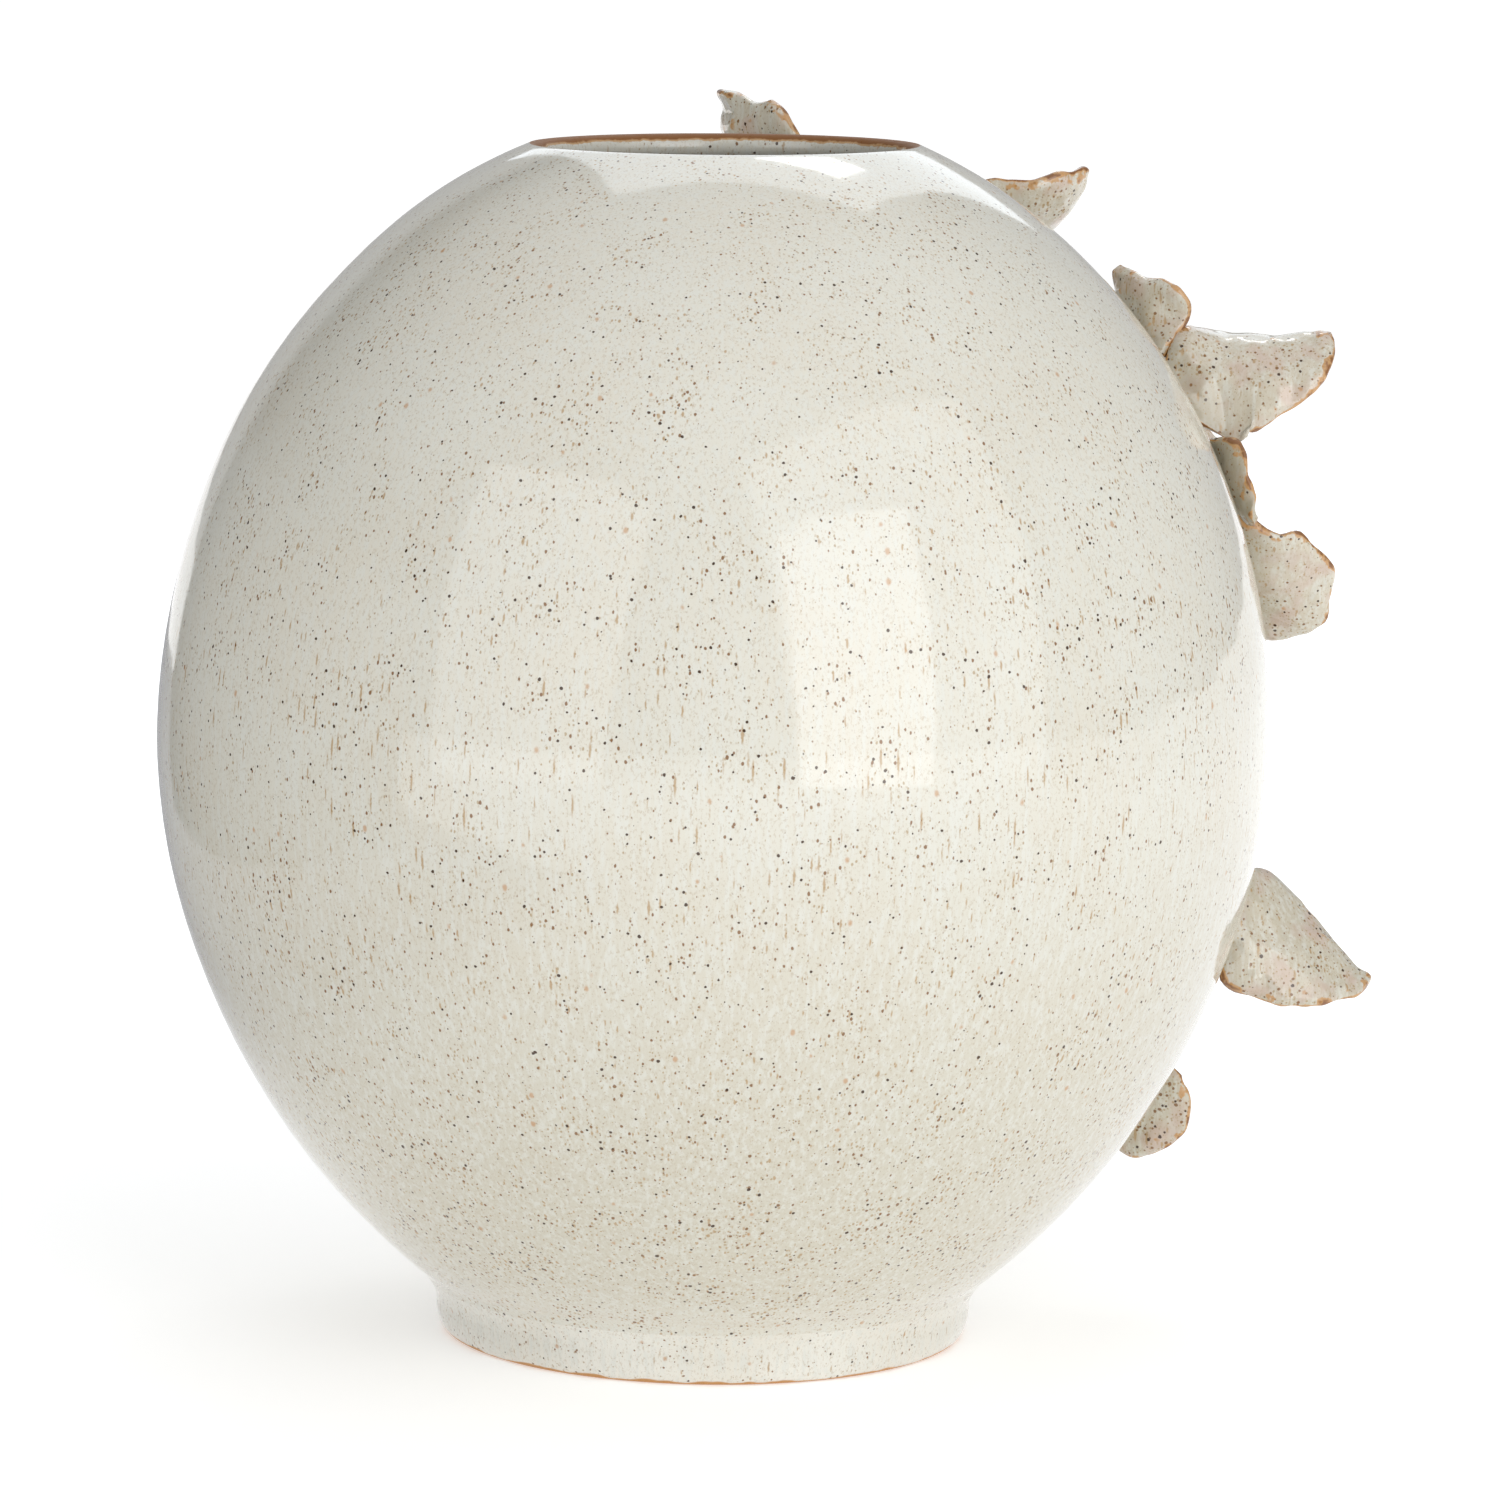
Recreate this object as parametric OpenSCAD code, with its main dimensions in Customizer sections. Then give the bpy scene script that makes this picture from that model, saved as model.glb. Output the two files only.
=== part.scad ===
// Stoneware globe vase with three applied flowers.
// Millimetres, +Z up, origin at the middle of the face that the foot rests on.
// Azimuths are measured from +X towards +Y, so the plain side of the vase faces -Y.

/* [Body] */
// Largest diameter of the globe
body_d = 250; // [244:1:256]
// Height from the table to the top of the lip
body_h = 268.5; // [262:0.5:273]
// Height of the widest place of the globe
belly_z = 136; // [132:1:140]
// Diameter of the mouth inside the lip
mouth_d = 81; // [70:1:92]
// Thickness of the thrown wall
wall = 6; // [5:0.5:8]
// Thickness of the floor
floor_t = 8; // [6:0.5:10]

/* [Foot] */
// Diameter of the foot's wall
foot_d = 122.5; // [118:0.5:126]
// Height of the foot ring
foot_h = 12; // [10:0.5:14]
// Outer diameter of the bare edge that the vase stands on
rest_d = 115.6; // [110:0.2:117]
// Diameter of the recess inside the foot ring
recess_d = 100; // [90:1:104]

/* [Flowers] */
// Azimuth and height of the upper flower's middle
upper_at = [66, 248];
// Azimuth and height of the middle flower's middle
middle_at = [20, 207];
// Azimuth and height of the lower flower's middle
lower_at = [20, 92];
// Radius of the ring that the petals stand on
petal_ring_r = 12; // [11:0.5:13]
// Radius of the boss in the middle of a flower
boss_r = 7; // [5:0.5:7]
// Height of the boss in the middle of a flower
boss_h = 6; // [4:0.5:8]

/* [Petals] */
// Thickness of a petal halfway along
petal_t = 4.2; // [3.5:0.1:4.6]
// Thickness of a petal where it is pressed on the globe
root_t = 6.5; // [5:0.1:7]
// Thickness of a petal near its tip
tip_t = 2.4; // [2:0.1:3]
// Half of a petal's width where it is pressed on the globe
root_half_w = 5; // [4.5:0.5:6]
// How far in from its rim a petal is rounded
rim_round = 2.6; // [1.5:0.1:3]
// Angle that a petal's cross-section is cupped through, on each side
cup = 40; // [20:1:50]

/* [Hidden] */
FLOWERS = ["upper", "middle", "lower"];
PETALS_EACH = 6;

// One row for each petal:
// [spin, lean, curl, length, half width, sweep, twist, widest]
//   spin    way that the petal points round its flower: 0 is up, 90 is towards -Y
//   lean    tilt away from the flower's own axis at the root
//   curl    further tilt gained by the time the tip is reached
//   sweep   how far the tip is bent sideways, in millimetres
//   twist   turn about the petal's own length at the tip
//   widest  share of the length at which the petal is widest
upper_petals = [
    [-63, 59, -39, 37, 16.5, -5, 0, 0.39],
    [20, 92, 16, 18, 9.5, 0, 0, 0.5],
    [103, 87, -73, 47, 14.5, -8, 0, 0.45],
    [151, 76, -20, 36, 10, 0, 0, 0.5],
    [198, 62, -14, 36, 10, 0, 0, 0.5],
    [244.5, 78, -20, 35, 10, 0, 0, 0.5]
];
middle_petals = [
    [-66, 60, -25, 36, 12, 0, 0, 0.5],
    [-1, 40, 87, 24.5, 13.5, -10.5, 0, 0.62],
    [64, 9, -47, 37.5, 17.8, 9, -45, 0.38],
    [126, 94, -26, 27, 8.5, 4, 0, 0.7],
    [177, 97, -54, 56, 17.8, -6.5, -60, 0.69],
    [236, 62, -25, 38, 12.5, 0, 0, 0.5]
];
lower_petals = [
    [-46, 60, -25, 38, 13, 0, 0, 0.5],
    [17, 88, 14, 30, 12, 0, 0, 0.5],
    [80, 10, -48, 41.5, 17.4, 9, -45, 0.38],
    [134, 94, 18, 24, 9.5, 0, 0, 0.5],
    [190, 94, -27, 51, 17.8, -8, -45, 0.68],
    [250, 60, -25, 38, 13.5, 0, 0, 0.5]
];

// Shape of the globe: an ellipse above the belly, a slightly straighter curve below it
body_r = body_d / 2;
foot_r = foot_d / 2;
lip_r = wall / 2;
lip_mid_r = mouth_d / 2 + lip_r;
lower_power = 1.85;
shoulder_h = (body_h - belly_z) / sqrt(1 - pow(lip_mid_r / body_r, 2));
base_depth = (belly_z - foot_h) / pow(1 - pow(foot_r / body_r, lower_power), 1 / lower_power);
globe_mid = [0, 0, belly_z];
// Within this share of its size outside the globe, a petal is eased away from the surface
near_globe = 0.02;

// Shape of the hollow inside it
hollow_r = body_r - wall;
hollow_top_h = (body_h - wall - belly_z) / sqrt(1 - pow(lip_mid_r / hollow_r, 2));
hollow_depth = base_depth - floor_t;
floor_z = foot_h + floor_t;

// Softness of the hollow curve between the globe and the foot's wall,
// and how far in from foot_d the wall settles below that curve
waist_blend = 3;
waist_settle = 1;
// Height of the foot's rounded outer edge, and the slope of the recess wall
foot_edge_h = 7;
recess_taper = 1.5;
// Number of straight steps in each stretch of the turned outlines, and flats round them
shoulder_steps = 36;
belly_steps = 32;
lip_steps = 10;
edge_steps = 8;
turned_sides = 180;

// Fullness of a petal's outline before and after its widest place
root_power = 1.3;
tip_power = 0.75;
// Share of a petal's length over which its root is thickened
root_share = 0.25;
// Greatest lean at which a petal's root is pressed on, so that the root keeps its thickness
flattest_root = 70;
// Most of a petal's half width that its rounded rim may take
rim_share = 0.8;

// Petal mesh: rings along its length, flat steps across each face, angles round each rim
petal_rings = 13;
face_steps = 6;
rim_angles = [0, 30, 60, 90];
midline_steps = 12;
boss_rings = 6;
boss_sides = 20;

glaze_colour = [0.85, 0.83, 0.76];
foot_colour = [0.88, 0.86, 0.79];
petal_colour = [0.83, 0.77, 0.68];
boss_colour = [0.80, 0.66, 0.48];

function total(v) = v * [for (x = v) 1];
function power_at(z) = z >= belly_z ? 2 : lower_power;
function curve_r(z, r, rise, depth) =
    let (p = power_at(z), t = abs(z - belly_z) / (z >= belly_z ? rise : depth))
    r * pow(max(0, 1 - pow(t, p)), 1 / p);

function globe_r(z) = curve_r(z, body_r, shoulder_h, base_depth);
function hollow_r_at(z) = curve_r(z, hollow_r, hollow_top_h, hollow_depth);
// The globe's outline running softly into the foot's upright wall
function outside_r(z) =
    waist_blend * ln(exp(globe_r(z) / waist_blend) + exp((foot_r - waist_settle) / waist_blend));

// 1 on the globe's surface, less inside it and more outside it
function globe_norm(p) =
    let (
        n = power_at(p.z),
        across = norm([p.x, p.y]) / body_r,
        along = abs(p.z - belly_z) / (p.z >= belly_z ? shoulder_h : base_depth)
    )
    pow(pow(across, n) + pow(along, n), 1 / n);
function onto_globe(p) = globe_mid + (p - globe_mid) / globe_norm(p);
// A point well outside the globe stays, and one close to it or inside it ends just above it
function clear_of_globe(p) =
    let (n = globe_norm(p))
    n > 1 + near_globe
        ? p
        : globe_mid + (p - globe_mid) * (1 + near_globe * exp((n - 1) / near_globe - 1)) / n;

// Where a flower sits: [point, outward normal, up along the surface, sideways along it]
function site(at) =
    let (
        n = power_at(at[1]),
        h = at[1] - belly_z,
        reach = h >= 0 ? shoulder_h : base_depth,
        r = globe_r(at[1]),
        slope_out = pow(r / body_r, n - 1) / body_r,
        slope_up = sign(h) * pow(abs(h) / reach, n - 1) / reach,
        rise = atan2(slope_up, slope_out),
        away = [cos(at[0]), sin(at[0]), 0]
    )
    [
        [r * away.x, r * away.y, at[1]],
        [cos(rise) * away.x, cos(rise) * away.y, sin(rise)],
        [-sin(rise) * away.x, -sin(rise) * away.y, cos(rise)],
        [-away.y, away.x, 0]
    ];

function petal_half_w(u, half_w, widest) =
    u < widest
        ? root_half_w + (half_w - root_half_w) * pow(sin(90 * u / widest), root_power)
        : half_w * pow(cos(90 * (u - widest) / (1 - widest)), tip_power);
function petal_thickness(u) =
    petal_t + (root_t - petal_t) * pow(max(0, 1 - u / root_share), 2) - (petal_t - tip_t) * u * u;

// Flat cross-section of a petal as [across, off its middle], once round it
function petal_section(half_w, t) =
    let (
        round_w = min(rim_round, rim_share * half_w),
        rim = [for (a = rim_angles) [round_w * (1 - cos(a)), sin(a) * t / 2]],
        flat_w = 2 * (half_w - round_w),
        face = [for (k = [1 : face_steps - 1]) [-half_w + round_w + flat_w * k / face_steps, t / 2]],
        near = [for (q = rim) [-half_w + q[0], q[1]]],
        far = [for (k = [len(rim) - 1 : -1 : 0]) [half_w - rim[k][0], rim[k][1]]],
        top = concat(near, face, far)
    )
    concat(top, [for (k = [len(top) - 2 : -1 : 1]) [top[k][0], -top[k][1]]]);

// Point of the petal's midline, as [along the surface, along the flower's axis]
function midline(u, lean, curl, length) =
    let (
        step = u / midline_steps,
        tilts = [for (k = [0.5 : midline_steps]) lean + curl * pow(k * step, 2)]
    )
    length * step * [total([for (a = tilts) sin(a)]), total([for (a = tilts) cos(a)])];

// Point of the petal at u along it: across and off are measured in the flat petal
function petal_point(place, row, u, across, off) =
    let (
        out = place[1],
        along = cos(row[0]) * place[2] - sin(row[0]) * place[3],
        side = cross(out, along),
        root = onto_globe(place[0] + petal_ring_r * along),
        mid = midline(u, row[1], row[2], row[3]),
        tilt = row[1] + row[2] * u * u,
        inward = sin(tilt) * out - cos(tilt) * along,
        bend_r = row[4] * 180 / (PI * cup),
        bend = across / bend_r * 180 / PI,
        x = sin(bend) * (bend_r - off) + row[5] * u * u,
        y = bend_r - cos(bend) * (bend_r - off),
        turn = row[6] * u,
        x_turned = x * cos(turn) - y * sin(turn),
        y_turned = y * cos(turn) + x * sin(turn)
    )
    root + mid[0] * along + mid[1] * out + x_turned * side + y_turned * inward;

function petal_ring(place, row, u) = [
    for (q = petal_section(petal_half_w(u, row[4], row[7]), petal_thickness(u)))
        petal_point(place, row, u, q[0], q[1])
];

// Triangles of a tube of rings that is closed at its first ring by the point
// numbered first_cap, and at its last ring by the point numbered last_cap
function tube_faces(rings, sides, first_cap, last_cap) = concat(
    [for (j = [0 : sides - 1]) [first_cap, (j + 1) % sides, j]],
    [for (i = [0 : rings - 2], j = [0 : sides - 1], half = [0, 1])
        let (k = (j + 1) % sides, low = i * sides, high = low + sides)
        half == 0 ? [low + j, low + k, high + k] : [low + j, high + k, high + j]],
    [for (j = [0 : sides - 1])
        [(rings - 1) * sides + j, (rings - 1) * sides + (j + 1) % sides, last_cap]]
);

module petal(at, row) {
    place = site(at);
    along = cos(row[0]) * place[2] - sin(row[0]) * place[3];
    root_row = [for (i = [0 : len(row) - 1]) i == 1 ? min(row[i], flattest_root) : row[i]];
    root_ring = [for (p = petal_ring(place, root_row, 0)) onto_globe(p)];
    rings = [
        for (i = [1 : petal_rings - 1])
            for (p = petal_ring(place, row, sin(90 * i / petal_rings))) clear_of_globe(p)
    ];
    root_mid = onto_globe(place[0] + petal_ring_r * along);
    tip = petal_point(place, row, 1, 0, 0);
    points = concat(root_ring, rings, [root_mid, clear_of_globe(tip)]);
    color(petal_colour)
        polyhedron(points, tube_faces(petal_rings, len(root_ring), len(points) - 2, len(points) - 1));
}

// A low dome of clay pressed on the middle of a flower
module boss(at) {
    place = site(at);
    rings = [
        for (i = [0 : boss_rings - 1], j = [0 : boss_sides - 1])
            let (
                rise = 90 * i / boss_rings,
                turn = 360 * j / boss_sides,
                spread = boss_r * cos(rise) * (cos(turn) * place[2] + sin(turn) * place[3]),
                foot = onto_globe(place[0] + spread)
            )
            foot + boss_h * sin(rise) * place[1]
    ];
    points = concat(rings, [place[0], place[0] + boss_h * place[1]]);
    color(boss_colour)
        polyhedron(points, tube_faces(boss_rings, boss_sides, len(points) - 2, len(points) - 1));
}

// The hollow globe, from its flat base to its rounded lip
module body() {
    lip_z = body_h - lip_r;
    flank = [for (i = [0 : belly_steps]) belly_z + (foot_h - belly_z) * cos(90 * i / belly_steps)];
    shoulder = [for (i = [0 : shoulder_steps]) 90 * i / shoulder_steps];
    outer_end = acos(lip_mid_r / body_r);
    inner_end = acos(lip_mid_r / hollow_r);
    inner_start = asin((belly_z - floor_z) / hollow_depth);
    color(glaze_colour)
        rotate_extrude($fn = turned_sides)
            polygon(concat(
                [[0, foot_h]],
                [for (z = flank) [outside_r(z), z]],
                [for (a = shoulder) if (a > 0)
                    [body_r * cos(a / 90 * outer_end), belly_z + shoulder_h * sin(a / 90 * outer_end)]],
                [for (i = [1 : lip_steps])
                    let (a = 180 * i / lip_steps)
                    [lip_mid_r - lip_r * sin(a), lip_z + lip_r * cos(a)]],
                [for (i = [shoulder_steps - 1 : -1 : 0])
                    let (a = inner_end * i / shoulder_steps)
                    [hollow_r * cos(a), belly_z + hollow_top_h * sin(a)]],
                [for (i = [1 : belly_steps])
                    let (z = belly_z - hollow_depth * sin(inner_start * i / belly_steps))
                    [hollow_r_at(z), z]],
                [[0, floor_z]]
            ));
}

// The turned ring under the globe; its rounded outer edge stops at the bare standing face
module foot_ring() {
    wall_r = outside_r(foot_edge_h);
    edge_w = wall_r - rest_d / 2;
    color(foot_colour)
        rotate_extrude($fn = turned_sides)
            polygon(concat(
                [[recess_d / 2, foot_h], [recess_d / 2 + recess_taper, 0]],
                [for (i = [0 : edge_steps])
                    let (a = 90 * i / edge_steps)
                    [rest_d / 2 + edge_w * sin(a), foot_edge_h * (1 - cos(a))]],
                [for (i = [1 : edge_steps])
                    let (z = foot_edge_h + (foot_h - foot_edge_h) * i / edge_steps)
                    [outside_r(z), z]]
            ));
}

body();
foot_ring();
boss(upper_at);  // upper_flower_boss
boss(middle_at);  // middle_flower_boss
boss(lower_at);  // lower_flower_boss
for (k = [1 : PETALS_EACH]) {
    petal(upper_at, upper_petals[k - 1]);
    petal(middle_at, middle_petals[k - 1]);
    petal(lower_at, lower_petals[k - 1]);
}
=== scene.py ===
"""The look of a stoneware globe vase with three applied flowers.

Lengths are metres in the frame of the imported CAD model: +Z up, the foot on z = 0 and the
plain side of the vase towards -Y. Sizes come from the CAD nodes wherever they can.
"""
import math

import bmesh
import bpy
import numpy as np
from mathutils import Matrix, Vector, noise
from mathutils.bvhtree import BVHTree


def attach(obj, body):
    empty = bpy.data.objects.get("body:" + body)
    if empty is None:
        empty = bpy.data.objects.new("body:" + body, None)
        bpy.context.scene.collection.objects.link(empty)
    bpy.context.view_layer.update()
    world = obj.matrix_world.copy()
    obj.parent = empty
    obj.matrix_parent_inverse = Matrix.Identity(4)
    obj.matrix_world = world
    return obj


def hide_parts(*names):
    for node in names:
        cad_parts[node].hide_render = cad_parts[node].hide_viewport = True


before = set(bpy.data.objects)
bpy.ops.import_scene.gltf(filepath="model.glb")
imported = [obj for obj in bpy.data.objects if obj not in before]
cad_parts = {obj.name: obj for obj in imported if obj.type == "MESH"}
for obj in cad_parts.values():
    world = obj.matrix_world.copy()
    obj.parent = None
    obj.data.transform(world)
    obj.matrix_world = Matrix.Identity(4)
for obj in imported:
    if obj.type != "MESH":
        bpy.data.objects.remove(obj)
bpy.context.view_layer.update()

MM = 0.001
FLOWERS = ("upper", "middle", "lower")
PETALS_EACH = 6

# ---------------------------------------------------------------- sizes, from the CAD nodes


def rings(node):
    """Radius and height of every vertex of a turned CAD node."""
    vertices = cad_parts[node].data.vertices
    return [(math.hypot(v.co.x, v.co.y), v.co.z) for v in vertices]


WALL = 6 * MM
FLOOR_THICK = 8 * MM
SAME = 0.01 * MM  # points closer than this count as the same
BODY_RINGS = rings("body")
FOOT_RINGS = rings("foot_ring")
TOP = max(z for r, z in BODY_RINGS)
FOOT_TOP = min(z for r, z in BODY_RINGS)
GLOBE_R, BELLY = max(BODY_RINGS)
MOUTH_R = min(r for r, z in BODY_RINGS if z > TOP - WALL)
WAIST_R = max(r for r, z in BODY_RINGS if z < FOOT_TOP + SAME)
REST_R = max(r for r, z in FOOT_RINGS if z < SAME)
REST_INNER_R = min(r for r, z in FOOT_RINGS if z < SAME)
RECESS_R = min(r for r, z in FOOT_RINGS)

# The globe is an ellipse above its belly and a slightly straighter curve below it
LOWER_POWER = 1.85
LIP_R = WALL / 2
LIP_MID_R = MOUTH_R + LIP_R
FOOT_WALL_R = 61.25 * MM
SHOULDER_RISE = (TOP - BELLY) / math.sqrt(1 - (LIP_MID_R / GLOBE_R) ** 2)
BASE_DEPTH = (BELLY - FOOT_TOP) / (1 - (FOOT_WALL_R / GLOBE_R) ** LOWER_POWER) ** (1 / LOWER_POWER)
WAIST_BLEND = 3 * MM
WAIST_SETTLE = 1 * MM
FOOT_EDGE_H = 7 * MM


def smooth_step(value, low, high):
    t = min(1.0, max(0.0, (value - low) / (high - low)))
    return t * t * (3 - 2 * t)


def curve_r(z, r, rise, depth):
    """Radius at height z of a globe of radius r that is rise tall above the belly."""
    power, reach = (2, rise) if z >= BELLY else (LOWER_POWER, depth)
    return r * max(0.0, 1 - (abs(z - BELLY) / reach) ** power) ** (1 / power)


def outside_r(z):
    """The globe's outline running softly into the foot's upright wall."""
    globe = math.exp(curve_r(z, GLOBE_R, SHOULDER_RISE, BASE_DEPTH) / WAIST_BLEND)
    foot = math.exp((FOOT_WALL_R - WAIST_SETTLE) / WAIST_BLEND)
    return WAIST_BLEND * math.log(globe + foot)


# ---------------------------------------------------------------- turned pieces

SIDES = 288
BASE_STEPS = 8
UNDER_STEPS = 96
SHOULDER_STEPS = 120
LIP_STEPS = 60
INNER_SHOULDER_STEPS = 80
INNER_UNDER_STEPS = 60
FOOT_EDGE_STEPS = 24
FOOT_WALL_STEPS = 12

# Degrees from the lip's top round to its inside: bare clay up to the first, covered from the second
GLAZE_THINS = (36, 76)


def body_outline():
    """Outline of the globe from the middle of its base, over the lip, to the middle of its floor.

    Each point is (radius, height, share of bare rim), and the last is 1 where the glaze has
    run off the inner edge of the lip's top.
    """
    lip_z = TOP - LIP_R
    hollow_r = GLOBE_R - WALL
    hollow_rise = (TOP - WALL - BELLY) / math.sqrt(1 - (LIP_MID_R / hollow_r) ** 2)
    hollow_depth = BASE_DEPTH - FLOOR_THICK
    floor_z = FOOT_TOP + FLOOR_THICK
    outer_end = math.acos(LIP_MID_R / GLOBE_R)
    inner_end = math.acos(LIP_MID_R / hollow_r)
    inner_start = math.asin((BELLY - floor_z) / hollow_depth)
    points = [(k * WAIST_R / BASE_STEPS, FOOT_TOP, 0.0) for k in range(BASE_STEPS)]
    for i in range(UNDER_STEPS + 1):
        z = BELLY - (BELLY - FOOT_TOP) * math.cos(math.pi / 2 * i / UNDER_STEPS)
        points.append((outside_r(z), z, 0.0))
    for i in range(1, SHOULDER_STEPS + 1):
        a = outer_end * i / SHOULDER_STEPS
        points.append((GLOBE_R * math.cos(a), BELLY + SHOULDER_RISE * math.sin(a), 0.0))
    for i in range(1, LIP_STEPS + 1):
        a = math.pi * i / LIP_STEPS
        bare = 1 - smooth_step(180 * i / LIP_STEPS, *GLAZE_THINS)
        points.append((LIP_MID_R - LIP_R * math.sin(a), lip_z + LIP_R * math.cos(a), bare))
    for i in reversed(range(INNER_SHOULDER_STEPS)):
        a = inner_end * i / INNER_SHOULDER_STEPS
        points.append((hollow_r * math.cos(a), BELLY + hollow_rise * math.sin(a), 0.0))
    for i in range(1, INNER_UNDER_STEPS + 1):
        z = BELLY - hollow_depth * math.sin(inner_start * i / INNER_UNDER_STEPS)
        points.append((curve_r(z, hollow_r, hollow_rise, hollow_depth), z, 0.0))
    edge_r = points[-1][0]
    points += [(edge_r * k / BASE_STEPS, floor_z, 0.0) for k in reversed(range(BASE_STEPS))]
    return points


def foot_outline():
    """Closed outline of the foot ring, from the inner edge of its standing face."""
    edge_w = outside_r(FOOT_EDGE_H) - REST_R
    points = [(REST_INNER_R, 0.0, 0.0), (REST_R, 0.0, 0.0)]
    for i in range(1, FOOT_EDGE_STEPS + 1):
        a = math.pi / 2 * i / FOOT_EDGE_STEPS
        points.append((REST_R + edge_w * math.sin(a), FOOT_EDGE_H * (1 - math.cos(a)), 0.0))
    for i in range(1, FOOT_WALL_STEPS + 1):
        z = FOOT_EDGE_H + (FOOT_TOP - FOOT_EDGE_H) * i / FOOT_WALL_STEPS
        points.append((outside_r(z), z, 0.0))
    points.append((RECESS_R, FOOT_TOP, 0.0))
    return points


# How far the globe strays from a true turned shape, and where
SHOULDER_FLAT = 0.9 * MM
FLAT_STARTS = (0.10, 0.19)
FLAT_ENDS = (0.235, 0.262)
DENT = 0.10 * MM
RIDGE = 0.012 * MM
RIDGE_WAVE = 1.1 * MM
CREASE_Z = 14.2 * MM
CREASE_WANDER = 0.8 * MM
CREASE_DEPTH = 0.35 * MM
CREASE_WIDTH = 1.6 * MM
MOUTH_DROP = 1.1 * MM
AXIS_R = 1 * MM  # nothing moves this close to the middle


def thrown_by_hand(point):
    """Moves a point of the turned globe to where an uneven pair of hands left it.

    Every move is inwards or down, so that the piece stays inside its CAD solid's box.
    """
    x, y, z = point
    r = math.hypot(x, y)
    if r < AXIS_R:
        return Vector(point)
    turn = Vector((x / r, y / r, 0))

    # the left side of the shoulder is a little flatter
    left = max(0.0, -turn.x) ** 2
    flat = SHOULDER_FLAT * left * smooth_step(z, *FLAT_STARTS) * (1 - smooth_step(z, *FLAT_ENDS))

    # soft dents and throwing ridges wander over the wall, and fade out towards the foot
    dent = 1 + noise.noise(Vector((x, y, z * 1.5)) * 22)
    dents = DENT * dent * smooth_step(z, 0.01, 0.03)
    ridge = 1 + math.sin(z / RIDGE_WAVE + 2 * noise.noise(Vector((x, y, z)) * 9))
    ridges = RIDGE * ridge * smooth_step(z, 0.02, 0.04)

    # a crease runs round where the foot was joined on
    crease_z = CREASE_Z + CREASE_WANDER * noise.noise(turn * 2.2)
    crease = CREASE_DEPTH * math.exp(-(((z - crease_z) / CREASE_WIDTH) ** 2))
    r -= flat + dents + ridges + crease

    # the mouth leans down to the left
    share = min(1.0, max(0.0, 0.5 - 0.5 * x / LIP_MID_R))
    lean = MOUTH_DROP * share * smooth_step(z, TOP - 70 * MM, TOP - 20 * MM)
    return Vector((turn.x * r, turn.y * r, z - lean))


def turned(name, outline, closed):
    """A mesh object turned round the Z axis from an outline, with its rim share per vertex.

    closed joins the outline's last point to its first. A point on the axis is one vertex.
    """
    mesh = bpy.data.meshes.new(name)
    verts, rim, rows = [], [], []
    for r, z, bare in outline:
        row = []
        for k in range(SIDES if r > 0 else 1):
            a = 2 * math.pi * k / SIDES
            row.append(len(verts))
            verts.append(thrown_by_hand((r * math.cos(a), r * math.sin(a), z)))
            rim.append(bare)
        rows.append(row)
    pairs = list(zip(rows, rows[1:] + rows[:1])) if closed else list(zip(rows, rows[1:]))
    faces = []
    for low, high in pairs:
        for k in range(SIDES):
            j = (k + 1) % SIDES
            ends = ((low, k), (low, j), (high, j), (high, k))
            corners = [ring[i % len(ring)] for ring, i in ends]
            faces.append(list(dict.fromkeys(corners)))
    mesh.from_pydata(verts, [], faces)
    mesh.validate()
    store(mesh, "rim", rim)
    finish_mesh(mesh)
    return add_object(name, mesh)


def store(mesh, name, values):
    """Keeps one number per vertex under a name that a material can read."""
    attribute = mesh.attributes.new(name, "FLOAT", "POINT")
    attribute.data.foreach_set("value", np.array(values, np.float32))


def finish_mesh(mesh, sharp_over=55):
    """Smooth shading, except along edges that really are sharp."""
    mesh.polygons.foreach_set("use_smooth", [True] * len(mesh.polygons))
    mesh.set_sharp_from_angle(angle=math.radians(sharp_over))
    mesh.update()


def add_object(name, mesh):
    piece = bpy.data.objects.new(name, mesh)
    bpy.context.scene.collection.objects.link(piece)
    return piece


# ---------------------------------------------------------------- pressed pieces

GLOBE = BVHTree.FromPolygons(
    [v.co.copy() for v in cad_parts["body"].data.vertices],
    [list(p.vertices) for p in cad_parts["body"].data.polygons],
)

ROOT_SHADE_REACH = 14 * MM  # how far up from its root a piece gets painted shade, darkest where it meets the globe
SLIP = 3 * MM  # how far up from its root a piece is smoothed into the globe with slip
TOUCHING = 0.06 * MM  # a vertex lower than this over the globe belongs to the root
BURIED = -0.2 * MM  # a vertex lower than this is inside the wall
FLAT_PAIR = math.radians(60)  # two triangles that lie at most this far from flat become one face
SQUARE_PAIR = math.radians(80)  # and its corners may be this far from square
FACE_BEND, RIM_BEND = 60, 330  # how sharply, per metre, a face and a thin rim turn
RIM_BLURS = 3


def above_globe(point):
    """Height of a point above the globe's outside, and the globe's normal there."""
    place, normal, _, _ = GLOBE.find_nearest(point)
    return (point - place).dot(normal), normal


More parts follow.
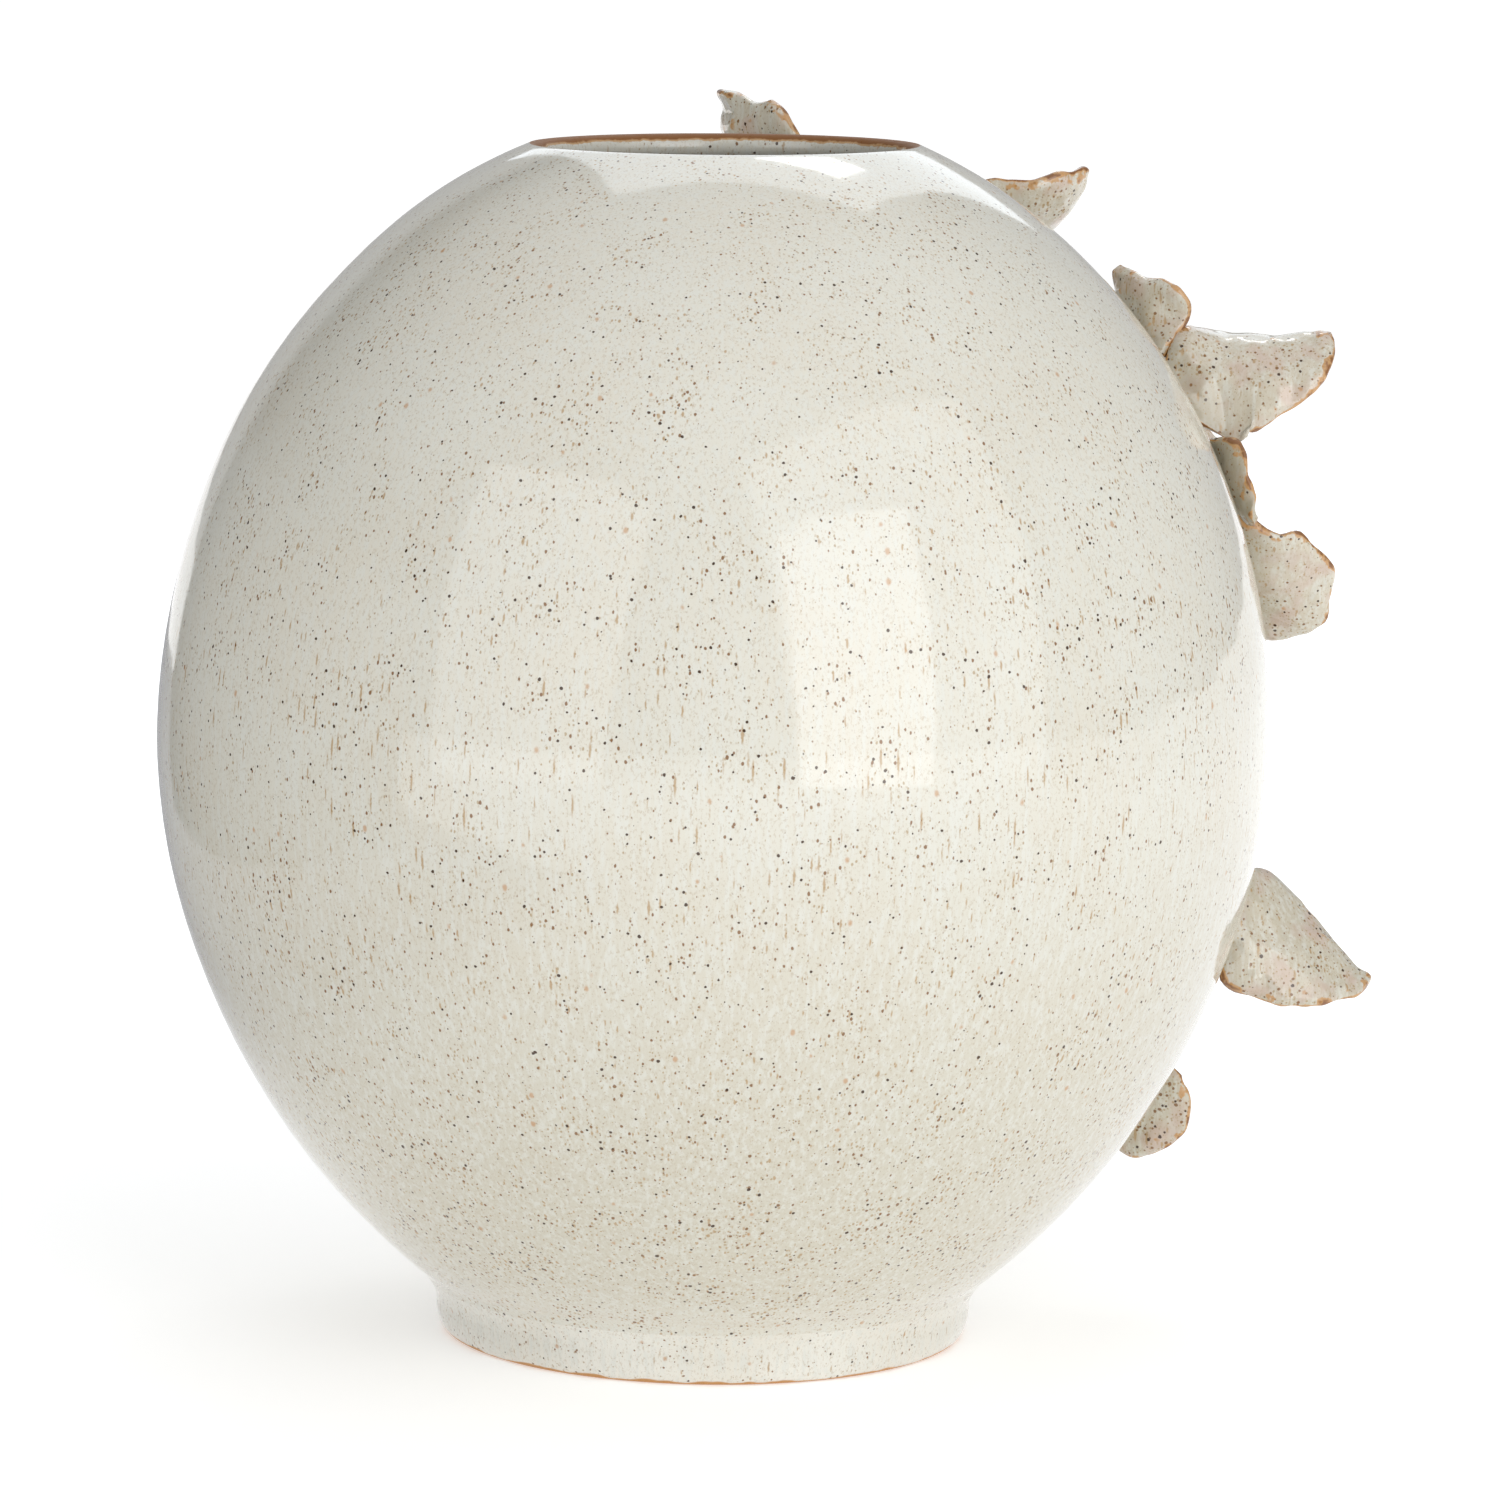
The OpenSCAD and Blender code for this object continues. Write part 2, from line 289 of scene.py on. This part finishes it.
def pressed(name, node, lump, lump_size, sink, flare):
    """A hand-pressed piece made from the CAD node's solid.

    The faceted solid is smoothed, its root is sunk into the wall and flared like luting slip,
    and its surface is left slightly lumpy.
    """
    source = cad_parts[node].data
    bm = bmesh.new()
    bm.from_mesh(source)
    bmesh.ops.remove_doubles(bm, verts=bm.verts, dist=SAME)
    bmesh.ops.recalc_face_normals(bm, faces=bm.faces)
    for v in bm.verts:
        height, normal = above_globe(v.co)
        if height < TOUCHING:
            v.co -= normal * sink
    bmesh.ops.join_triangles(
        bm,
        faces=bm.faces,
        angle_face_threshold=FLAT_PAIR,
        angle_shape_threshold=SQUARE_PAIR,
    )
    mesh = bpy.data.meshes.new(name)
    bm.to_mesh(mesh)
    bm.free()
    piece = add_object(name, mesh)
    smoothing = piece.modifiers.new("smooth clay", "SUBSURF")
    smoothing.levels = 2
    smoothing.render_levels = 2
    apply_modifiers(piece)
    thumb(piece.data, THUMBED.get(name, []))
    work_clay(piece.data, lump, lump_size, flare, seed=sum(map(ord, name)))
    heights = [above_globe(v.co)[0] for v in piece.data.vertices]
    # painted shade: how near each vertex is to the piece's root, where the glaze is darkened
    store(piece.data, "root", [1 - smooth_step(height, 0, ROOT_SHADE_REACH) for height in heights])
    store(piece.data, "rim", rim_of(piece.data))
    finish_mesh(piece.data, sharp_over=80)
    return piece


# Where a thumb drew the clay out or pushed it in, seen from the plain side of the vase. Each row
# is the place that was worked, as shares of the petal's box across and up, how far the clay moved
# (x, y, z) in millimetres, and how far round that place it followed.
THUMBED = {
    "upper_petal_1": [
        ((0.09, 0.98), (-2.4, 0, 0.2), 5),
        ((0.35, 0.99), (0, 0, -1.5), 4),
        ((0.80, 0.80), (-1.4, 0, 0), 8),
        ((0.12, 0.66), (-2.2, 0, 0), 8),
    ],
    "upper_petal_3": [
        ((0.45, 0.85), (0, 0, 1.1), 7),
        ((0.68, 0.91), (0, 0, -0.8), 5),
        ((0.85, 0.93), (0, 0, 0.4), 4),
        ((0.97, 0.97), (-0.6, 0, 0.8), 5),
    ],
    "middle_petal_2": [
        ((0.22, 0.66), (-4.5, 0, 0), 10),
        ((0.41, 0.94), (0, 0, -1.0), 4),
        ((0.92, 0.50), (0.8, 4.0, 0.8), 9),
    ],
    "middle_petal_3": [
        ((0.20, 0.95), (-1.5, -3.5, 1.0), 9),
        ((0.67, 0.19), (-1.2, 0, 1.6), 8),
        ((0.36, 0.24), (4.2, 0, -6.0), 8),
        ((0.94, 0.96), (-0.6, 0, 0.8), 4),
    ],
    "middle_petal_4": [((0.96, 0.12), (-2.2, 0, 0), 6), ((0.50, 0.80), (2.4, 0, 3.6), 7)],
    "middle_petal_5": [((0.79, 0.57), (0, 0, 2.8), 6), ((0.99, 0.40), (0.9, 0, 0), 6)],
    "lower_petal_2": [((0.90, 0.40), (-1.5, 0, 0), 15)],
    "lower_petal_3": [((0.99, 0.14), (-0.2, 0, 0.6), 5), ((0.20, 0.23), (-2.2, 0, -2.2), 8)],
    "lower_petal_5": [((0.89, 0.55), (-2.5, 0, -2.0), 7), ((0.99, 0.32), (0.5, 0, 0.8), 5)],
}


def thumb(mesh, marks):
    """Moves the clay softly round each worked place."""
    across = [v.co.x for v in mesh.vertices]
    up = [v.co.z for v in mesh.vertices]
    low = Vector((min(across), min(up)))
    high = Vector((max(across), max(up)))
    for shares, move, reach in marks:
        place = low + Vector(shares) * (high - low)
        for v in mesh.vertices:
            far = (Vector((v.co.x, v.co.z)) - place).length / (reach * MM)
            v.co += Vector(move) * MM * max(0.0, 1 - far**2) ** 2
    mesh.update()


def apply_modifiers(piece):
    """Gives a piece the mesh that its modifiers make, and removes them."""
    modified = piece.evaluated_get(bpy.context.evaluated_depsgraph_get())
    shaped = bpy.data.meshes.new_from_object(modified)
    piece.modifiers.clear()
    piece.data = shaped


def work_clay(mesh, lump, lump_size, flare, seed):
    """Finger dents over the surface, and a flare of slip where the piece meets the globe."""
    offset = Vector((seed * 0.37, seed * 0.11, seed * 0.23))
    normals = [v.normal.copy() for v in mesh.vertices]
    for v, normal in zip(mesh.vertices, normals):
        height, out = above_globe(v.co)
        if height < BURIED:
            continue
        at = v.co / lump_size + offset
        dent = noise.noise(at) + 0.4 * noise.noise(at * 2.7)
        v.co += normal * lump * (dent - 0.35) * smooth_step(height, 0, SLIP)
        along = normal - out * normal.dot(out)
        spread = flare * (1 - smooth_step(height, 0, SLIP)) ** 2
        v.co += along * spread
    mesh.update()


def rim_of(mesh):
    """How sharply the surface turns outwards at each vertex: 0 on a face, 1 on a thin rim."""
    count = len(mesh.vertices)
    places = np.zeros(count * 3)
    mesh.vertices.foreach_get("co", places)
    places = places.reshape(-1, 3)
    normals = np.array([v.normal for v in mesh.vertices])
    edges = np.zeros(len(mesh.edges) * 2, np.int64)
    mesh.edges.foreach_get("vertices", edges)
    a, b = edges.reshape(-1, 2).T
    step = places[b] - places[a]
    length2 = np.maximum((step**2).sum(1), 1e-12)
    bend, uses = np.zeros(count), np.zeros(count)
    np.add.at(bend, a, -(normals[a] * step).sum(1) / length2)
    np.add.at(bend, b, (normals[b] * step).sum(1) / length2)
    np.add.at(uses, a, 1)
    np.add.at(uses, b, 1)
    bend = 2 * bend / np.maximum(uses, 1)
    for _ in range(RIM_BLURS):
        around = np.zeros(count)
        np.add.at(around, a, bend[b])
        np.add.at(around, b, bend[a])
        bend = 0.5 * bend + 0.5 * around / np.maximum(uses, 1)
    return np.clip((bend - FACE_BEND) / (RIM_BEND - FACE_BEND), 0, 1)


# ---------------------------------------------------------------- node graphs


class Graph:
    """The nodes of a material or a world, written as short calls."""

    def __init__(self, owner):
        owner.use_nodes = True
        self.tree = owner.node_tree
        self.tree.nodes.clear()

    def node(self, kind, inputs, **settings):
        """Adds a node. An input given as a socket is linked, and any other is set as a value."""
        made = self.tree.nodes.new(kind)
        for key, value in settings.items():
            setattr(made, key, value)
        for key, value in inputs.items():
            if isinstance(value, bpy.types.NodeSocket):
                self.tree.links.new(value, made.inputs[key])
            else:
                made.inputs[key].default_value = value
        return made

    def math(self, operation, a, b=0.0):
        return self.node("ShaderNodeMath", {0: a, 1: b}, operation=operation).outputs[0]

    def multiply(self, a, b):
        return self.math("MULTIPLY", a, b)

    def add(self, a, b):
        return self.math("ADD", a, b)

    def step(self, value, low, high, low_out=0.0, high_out=1.0):
        """Runs softly from low_out to high_out as value goes from low to high."""
        inputs = {
            "Value": value,
            "From Min": low,
            "From Max": high,
            "To Min": low_out,
            "To Max": high_out,
        }
        made = self.node("ShaderNodeMapRange", inputs, interpolation_type="SMOOTHSTEP")
        return made.outputs["Result"]

    def mix(self, share, a, b):
        """Colour a where share is 0, running to colour b where it is 1."""
        made = self.node("ShaderNodeMix", {0: share, 6: a, 7: b}, data_type="RGBA")
        return made.outputs[2]

    def stretched(self, place, x, y, z):
        made = self.node("ShaderNodeVectorMath", {0: place, 1: (x, y, z)}, operation="MULTIPLY")
        return made.outputs[0]

    def noise(self, place, scale, detail=2.0, roughness=0.5):
        inputs = {"Vector": place, "Scale": scale, "Detail": detail, "Roughness": roughness}
        return self.node("ShaderNodeTexNoise", inputs).outputs["Fac"]

    def attribute(self, name):
        return self.node("ShaderNodeAttribute", {}, attribute_name=name).outputs["Fac"]


def srgb(red, green, blue):
    """A linear colour from the usual 0 to 255 values."""
    def linear(c):
        c /= 255
        return c / 12.92 if c <= 0.04045 else ((c + 0.055) / 1.055) ** 2.4
    return (linear(red), linear(green), linear(blue), 1.0)


def specks(graph, place, cell, radius, spread, soft, more=0.0):
    """Round specks scattered through the glaze, from a Voronoi field with one speck in each cell.

    Sizes are in millimetres. Radii run from radius - spread to radius + spread, and more, a
    number or a socket, is added to them all. soft is the width of a speck's edge.
    """
    inputs = {"Vector": place, "Scale": 1 / cell}
    cells = graph.node("ShaderNodeTexVoronoi", inputs, feature="F1").outputs
    parts = graph.node("ShaderNodeSeparateColor", {"Color": cells["Color"]}).outputs
    size = graph.add(graph.step(parts["Red"], 0.0, 1.0, radius - spread, radius + spread), more)
    inside = graph.math("SUBTRACT", size, graph.multiply(cells["Distance"], cell))
    return graph.step(inside, 0.0, soft)


GLAZE = srgb(217, 215, 204)
GLAZE_WARM = srgb(213, 206, 190)
GLAZE_COOL = srgb(216, 217, 210)
GLAZE_LOW_SHADE = srgb(190, 184, 165)
FOOT_GLAZE = srgb(228, 226, 217)
PETAL_GLAZE = srgb(202, 194, 176)
BOSS_GLAZE = srgb(196, 186, 165)
DARK_SPECK = srgb(58, 32, 6)
BROWN_SPECK = srgb(124, 82, 36)
FAINT_SPECK = srgb(162, 134, 88)
STREAK = srgb(172, 138, 90)
RUST = srgb(184, 128, 66)
BREAK_LIGHT = srgb(190, 138, 72)
BREAK_DARK = srgb(116, 66, 24)
PINK = srgb(198, 172, 158)
ROOT_SHADE = srgb(150, 140, 116)
BARE_CLAY = srgb(198, 152, 98)
COAT = 0.40
SPECULAR = 0.50  # the shader's own usual level


def glaze_tone(g, mm, loose, height, base, pink):
    """The glaze's colour: slow drifts, painted shade low on the globe, faint vertical runs, a blush
    of clay, a mottle, and painted shade at each piece's root.
    """
    colour = g.mix(g.step(g.noise(mm, 0.03, 2), 0.35, 0.65, 0, 0.35), base, GLAZE_WARM)
    # painted shade, darker towards the bottom of the globe and fading out at the foot
    low_shade = g.multiply(g.step(height, 175, 45, 0, 0.6), g.step(height, 10, 24))
    colour = g.mix(low_shade, colour, GLAZE_LOW_SHADE)
    runs = g.noise(g.stretched(mm, 1, 1, 0.07), 0.9, 2, 0.6)
    colour = g.mix(g.step(runs, 0.42, 0.66, 0, 0.55), colour, GLAZE_COOL)
    colour = g.mix(g.step(g.noise(mm, 0.13, 2), 0.48, 0.70, 0, pink), colour, PINK)
    mottle = g.noise(g.stretched(loose, 1, 1, 0.6), 1.7, 3, 0.75)
    colour = g.mix(g.step(mottle, 0.50, 0.72, 0, 0.42), colour, FAINT_SPECK)
    # painted shade, darker where a piece meets the globe
    return g.mix(g.multiply(g.attribute("root"), 0.75), colour, ROOT_SHADE)


def speckle(g, colour, mm, loose, height, run, crowded):
    """Lays the specks over a colour. Returns the new colour and where the dark specks are."""
    drawn = g.stretched(loose, 1, 1, 1 / run)
    trailing = g.stretched(loose, 1, 1, 0.16 / run)

    # specks are larger in some places than in others, and a little larger low on the vase
    low = g.step(height, 95, 35, 0, 0.05)
    crowd = g.add(g.step(g.noise(mm, 0.08, 2), 0.3, 0.7, -0.10, 0.06), g.add(low, crowded))

    streak = specks(g, trailing, cell=1.25, radius=0.24, spread=0.16, soft=0.26, more=crowd)
    faint = specks(g, drawn, cell=0.95, radius=0.19, spread=0.12, soft=0.16, more=crowd)
    brown = specks(g, drawn, cell=1.6, radius=0.27, spread=0.12, soft=0.16, more=crowd)
    dark = specks(g, loose, cell=2.4, radius=0.30, spread=0.12, soft=0.12, more=crowd)
    rust = specks(g, drawn, cell=6.0, radius=0.50, spread=0.30, soft=0.5)
    colour = g.mix(g.multiply(streak, 0.75), colour, STREAK)
    colour = g.mix(g.multiply(faint, 0.68), colour, FAINT_SPECK)
    colour = g.mix(g.multiply(brown, 0.90), colour, BROWN_SPECK)
    colour = g.mix(g.multiply(dark, 0.95), colour, DARK_SPECK)
    return g.mix(g.multiply(rust, 0.60), colour, RUST), dark


def thin_on_rims(g, mm, broken, ragged):
    """How thin the glaze is: high on rims, and in patches along them."""
    patches = g.step(g.noise(mm, 0.20, 3, 0.65), 0.38, 0.64, -ragged, 0.20)
    return g.add(g.multiply(g.attribute("rim"), broken), patches)


def bare_edge(g, colour, roughness, mm, height):
    """Leaves dull, unglazed clay along a wavering line at the very bottom of the foot."""
    edge = g.add(height, g.step(g.noise(mm, 0.12, 2), 0.3, 0.7, -0.35, 0.35))
    bare = g.step(edge, 0.95, 0.60)
    clay = g.mix(g.noise(mm, 1.5, 3), BARE_CLAY, RUST)
    return g.mix(bare, colour, clay), g.math("MAXIMUM", roughness, g.multiply(bare, 0.85))


def glaze_relief(g, mm, dark):
    """Slow waves in the glaze, a faint orange peel, and pits over the dark specks."""
    waves = g.noise(g.stretched(mm, 1, 1, 0.8), 0.10, 2)
    peel = g.multiply(g.noise(mm, 0.9, 2), 0.05)
    pits = g.multiply(dark, -0.06)
    inputs = {"Height": g.add(g.add(waves, peel), pits), "Distance": 0.08 * MM, "Strength": 1.0}
    return g.node("ShaderNodeBump", inputs).outputs["Normal"]


def speckled_glaze(name, base, run, pink, broken, ragged, crowded, dull=0.0, bare_foot=False):
    """Glossy oatmeal glaze over iron-bearing stoneware.

    run is how far specks are drawn out downwards, pink how much the clay blushes through,
    broken how readily the glaze breaks to brown on a thin rim, ragged how much of that brown
    is missing in patches, and crowded how much larger the specks are than on the globe's upper
    half. dull is how much of its gloss the brown has lost, and bare_foot leaves the lowest edge
    unglazed.
    """
    material = bpy.data.materials.new(name)
    g = Graph(material)
    place = g.node("ShaderNodeTexCoord", {}).outputs["Object"]
    mm = g.stretched(place, 1000, 1000, 1000)
    height = g.node("ShaderNodeSeparateXYZ", {"Vector": mm}).outputs["Z"]

    # specks and mottle are pushed about a little, so that none of them is a perfect shape
    wander = g.node("ShaderNodeTexNoise", {"Vector": mm, "Scale": 1.3, "Detail": 1.0})
    shift = g.stretched(wander.outputs["Color"], 0.35, 0.35, 0.35)
    loose = g.node("ShaderNodeVectorMath", {0: mm, 1: shift}, operation="ADD").outputs[0]

    colour = glaze_tone(g, mm, loose, height, base, pink)
    colour, dark = speckle(g, colour, mm, loose, height, run, crowded)

    # thin glaze breaks to brown
    thin = thin_on_rims(g, mm, broken, ragged)
    colour = g.mix(g.step(thin, 0.30, 0.58, 0, 0.80), colour, BREAK_LIGHT)
    colour = g.mix(g.step(thin, 0.66, 1.10, 0, 0.80), colour, BREAK_DARK)
    roughness = g.step(g.noise(mm, 0.3, 2), 0.3, 0.7, 0.06, 0.13)
    if bare_foot:
        colour, roughness = bare_edge(g, colour, roughness, mm, height)

    # a coat that is the same all over is a plain number on the shader, as the export needs
    gloss = {"Roughness": roughness, "Coat Weight": COAT}
    if dull:
        gloss = {
            "Roughness": g.add(roughness, g.step(thin, 0.45, 0.95, 0.0, dull)),
            "Specular IOR Level": g.step(thin, 0.45, 0.95, SPECULAR, SPECULAR - dull),
            "Coat Weight": g.step(thin, 0.45, 0.95, COAT, COAT - dull),
        }

    shader = g.node("ShaderNodeBsdfPrincipled", {
        "Base Color": colour,
        **gloss,
        "IOR": 1.5,
        "Coat Roughness": 0.03,
        "Normal": glaze_relief(g, mm, dark),
    })
    g.node("ShaderNodeOutputMaterial", {"Surface": shader.outputs[0]})
    return material


# ---------------------------------------------------------------- the vase

body_glaze = speckled_glaze(
    "body_glaze", GLAZE, run=1.4, pink=0.0, broken=1.35, ragged=0.25, crowded=0.0, dull=0.4
)
foot_glaze = speckled_glaze(
    "foot_glaze", FOOT_GLAZE, run=1.0, pink=0.0, broken=0.0, ragged=0.0, crowded=-0.08, bare_foot=True
)
petal_glaze = speckled_glaze(
    "petal_glaze", PETAL_GLAZE, run=1.0, pink=0.6, broken=1.15, ragged=0.6, crowded=0.05
)
boss_glaze = speckled_glaze(
    "boss_glaze", BOSS_GLAZE, run=1.0, pink=0.4, broken=1.3, ragged=0.6, crowded=0.05
)
BOSS_CLAY = {"lump": 0.7 * MM, "lump_size": 3 * MM, "sink": 2 * MM, "flare": 0.8 * MM}
PETAL_CLAY = {"lump": 0.8 * MM, "lump_size": 8 * MM, "sink": 2.5 * MM, "flare": 1.2 * MM}


def place_piece(piece, node, material):
    """Gives a piece its glaze and puts it in the place of its CAD node."""
    piece.data.materials.clear()
    piece.data.materials.append(material)
    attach(piece, "root")
    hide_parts(node)


place_piece(turned("globe", body_outline(), closed=False), "body", body_glaze)
place_piece(turned("foot", foot_outline(), closed=True), "foot_ring", foot_glaze)
for flower in FLOWERS:
    node = f"{flower}_flower_boss"
    place_piece(pressed(f"{flower}_boss", node, **BOSS_CLAY), node, boss_glaze)
    for k in range(1, PETALS_EACH + 1):
        node = f"{flower}_flower_petal_{k}"
        petal = pressed(f"{flower}_petal_{k}", node, **PETAL_CLAY)
        place_piece(petal, node, petal_glaze)


# ---------------------------------------------------------------- studio

VASE_MIDDLE = Vector((0, 0, BELLY))
WHITE = (1, 1, 1, 1)
TABLE_GREY = (0.8, 0.8, 0.8, 1)
TABLE_SHADE_GREY = (0.5, 0.5, 0.53, 1)
FLAG_GREY = (0.12, 0.12, 0.12, 1)
TABLE_GLOW = 0.43  # how much light of its own the table gives off beside the vase
TABLE_GLOW_FAR = 0.66


def floor():
    """A wide, plain white table that is lit up to pure white away from the vase."""
    mesh = bpy.data.meshes.new("floor")
    half = 20.0
    low = -0.05 * MM  # just under the foot, so that the two faces don't flicker
    corners = [(-half, -half, low), (half, -half, low), (half, half, low), (-half, half, low)]
    mesh.from_pydata(corners, [], [(0, 1, 2, 3)])
    white = bpy.data.materials.new("floor_white")
    g = Graph(white)
    place = g.node("ShaderNodeTexCoord", {}).outputs["Object"]
    away = g.node("ShaderNodeVectorMath", {0: place}, operation="LENGTH").outputs["Value"]
    shader = g.node("ShaderNodeBsdfPrincipled", {
        "Base Color": TABLE_GREY,
        "Roughness": 0.9,
        "Specular IOR Level": 0.0,
        "Emission Color": WHITE,
        "Emission Strength": g.step(away, 0.10, 0.9, TABLE_GLOW, TABLE_GLOW_FAR),
    })
    g.node("ShaderNodeOutputMaterial", {"Surface": shader.outputs[0]})
    mesh.materials.append(white)
    add_object("floor", mesh)


def mirrored_card(name, corners, material):
    """A flat card that only shows in what the glaze mirrors."""
    mesh = bpy.data.meshes.new(name)
    mesh.from_pydata(corners, [], [(0, 1, 2, 3)])
    mesh.materials.append(material)
    card = add_object(name, mesh)
    card.visible_camera = False
    card.visible_diffuse = False
    card.visible_shadow = False


def flag():
    """A dark card standing to the left of the vase."""
    side, near, far, height = -0.42, -0.26, 0.50, 0.30
    grey = bpy.data.materials.new("flag_grey")
    g = Graph(grey)
    shader = g.node("ShaderNodeBsdfPrincipled", {"Base Color": FLAG_GREY, "Roughness": 0.9})
    g.node("ShaderNodeOutputMaterial", {"Surface": shader.outputs[0]})
    corners = [(side, near, 0), (side, far, 0), (side, far, height), (side, near, height)]
    mirrored_card("flag", corners, grey)


def table_shade_card():
    """The table's shadow on the left, painted on a card that shows only in the glaze's reflections:
    as bright as the table by the vase and greyer further out.
    """
    inner, greyest, outer = -0.10, -0.24, -1.2
    near, far = -0.40, 1.6
    height = 0.5 * MM
    grey = bpy.data.materials.new("table_shade_grey")
    g = Graph(grey)
    place = g.node("ShaderNodeTexCoord", {}).outputs["Object"]
    x = g.node("ShaderNodeSeparateXYZ", {"Vector": place}).outputs["X"]
    # painted shadow: the card turns greyer and stops glowing away from the vase on the left
    shader = g.node("ShaderNodeBsdfPrincipled", {
        "Base Color": g.mix(g.step(x, inner, greyest), TABLE_GREY, TABLE_SHADE_GREY),
        "Roughness": 0.9,
        "Specular IOR Level": 0.0,
        "Emission Color": WHITE,
        "Emission Strength": g.step(x, inner, greyest, TABLE_GLOW, 0.0),
    })
    g.node("ShaderNodeOutputMaterial", {"Surface": shader.outputs[0]})
    outline = [(outer, near), (inner, near), (inner, far), (outer, far)]
    mirrored_card("table_shade_card", [(x, y, height) for x, y in outline], grey)


def panel(name, azimuth, elevation, width, height, radiance, away=1.7, colour=(1, 1, 1)):
    """A soft rectangular light that faces the vase.

    azimuth is counted from the -Y side towards +X. width and height are the angles that the
    panel takes up as seen from the vase, and radiance is how bright its face is.
    """
    a, e = math.radians(azimuth), math.radians(elevation)
    direction = Vector((math.sin(a) * math.cos(e), -math.cos(a) * math.cos(e), math.sin(e)))
    light = bpy.data.lights.new(name, "AREA")
    light.shape = "RECTANGLE"
    light.size = 2 * away * math.tan(math.radians(width / 2))
    light.size_y = 2 * away * math.tan(math.radians(height / 2))
    light.energy = radiance * math.pi * light.size * light.size_y
    light.color = colour
    lamp = add_object(name, light)
    lamp.visible_camera = False
    lamp.location = VASE_MIDDLE + direction * away
    lamp.rotation_euler = direction.to_track_quat("Z", "Y").to_euler()


def surroundings():
    """A room that is dark on the left, with a pale ceiling and a bright wall behind the vase."""
    world = bpy.data.worlds.new("studio")
    g = Graph(world)
    way = g.node("ShaderNodeTexCoord", {}).outputs["Generated"]
    parts = g.node("ShaderNodeSeparateXYZ", {"Vector": way}).outputs
    sides = g.step(parts["X"], -0.75, 0.45, 0.06, 0.48)
    ceiling = g.step(parts["Z"], 0.30, 1.0, 0.0, 1.0)
    back = g.step(parts["Y"], 0.80, 0.90, 0.0, 0.55)
    strength = g.math("MAXIMUM", g.math("MAXIMUM", sides, ceiling), back)
    sky = g.node("ShaderNodeBackground", {"Strength": strength})
    g.node("ShaderNodeOutputWorld", {"Surface": sky.outputs[0]})
    bpy.context.scene.world = world


def camera():
    """The camera looks at the plain side from a little above the mouth."""
    place = Vector((0, -1.5275, 0.3528))
    pitch, yaw, roll = 0.1434, 0.0054, 0.0200  # radians: down, to the right, right side raised
    forward = Vector((math.sin(yaw), math.cos(yaw), 0))
    level = Vector((math.cos(yaw), -math.sin(yaw), 0))
    up = Vector((0, 0, 1))
    looking = forward * math.cos(pitch) - up * math.sin(pitch)
    upright = up * math.cos(pitch) + forward * math.sin(pitch)
    right = level * math.cos(roll) + upright * math.sin(roll)
    top = upright * math.cos(roll) - level * math.sin(roll)
    lens = bpy.data.cameras.new("camera")
    lens.sensor_width = 36
    lens.lens = 164.9
    lens.clip_start = 0.05
    lens.clip_end = 100
    made = add_object("camera", lens)
    turn = Matrix((right, top, -looking)).transposed().to_4x4()
    made.matrix_world = Matrix.Translation(place) @ turn
    bpy.context.scene.camera = made


floor()
flag()
# painted shadow of the table on the left, seen only in reflections
table_shade_card()
surroundings()
panel("right_window", azimuth=42, elevation=18, width=54, height=72, radiance=0.85)
panel("right_window_core", azimuth=30, elevation=14, width=28, height=48, radiance=1.6)
panel("left_window", azimuth=-39, elevation=18, width=38, height=50, radiance=1.05)
panel(
    "back_wall", azimuth=176, elevation=42, width=34, height=44, radiance=1.25, colour=(0.86, 0.93, 1)
)
panel("back_lamp", azimuth=167, elevation=50, width=10, height=8, radiance=4.0)
camera()
bpy.context.scene.view_settings.view_transform = "Standard"
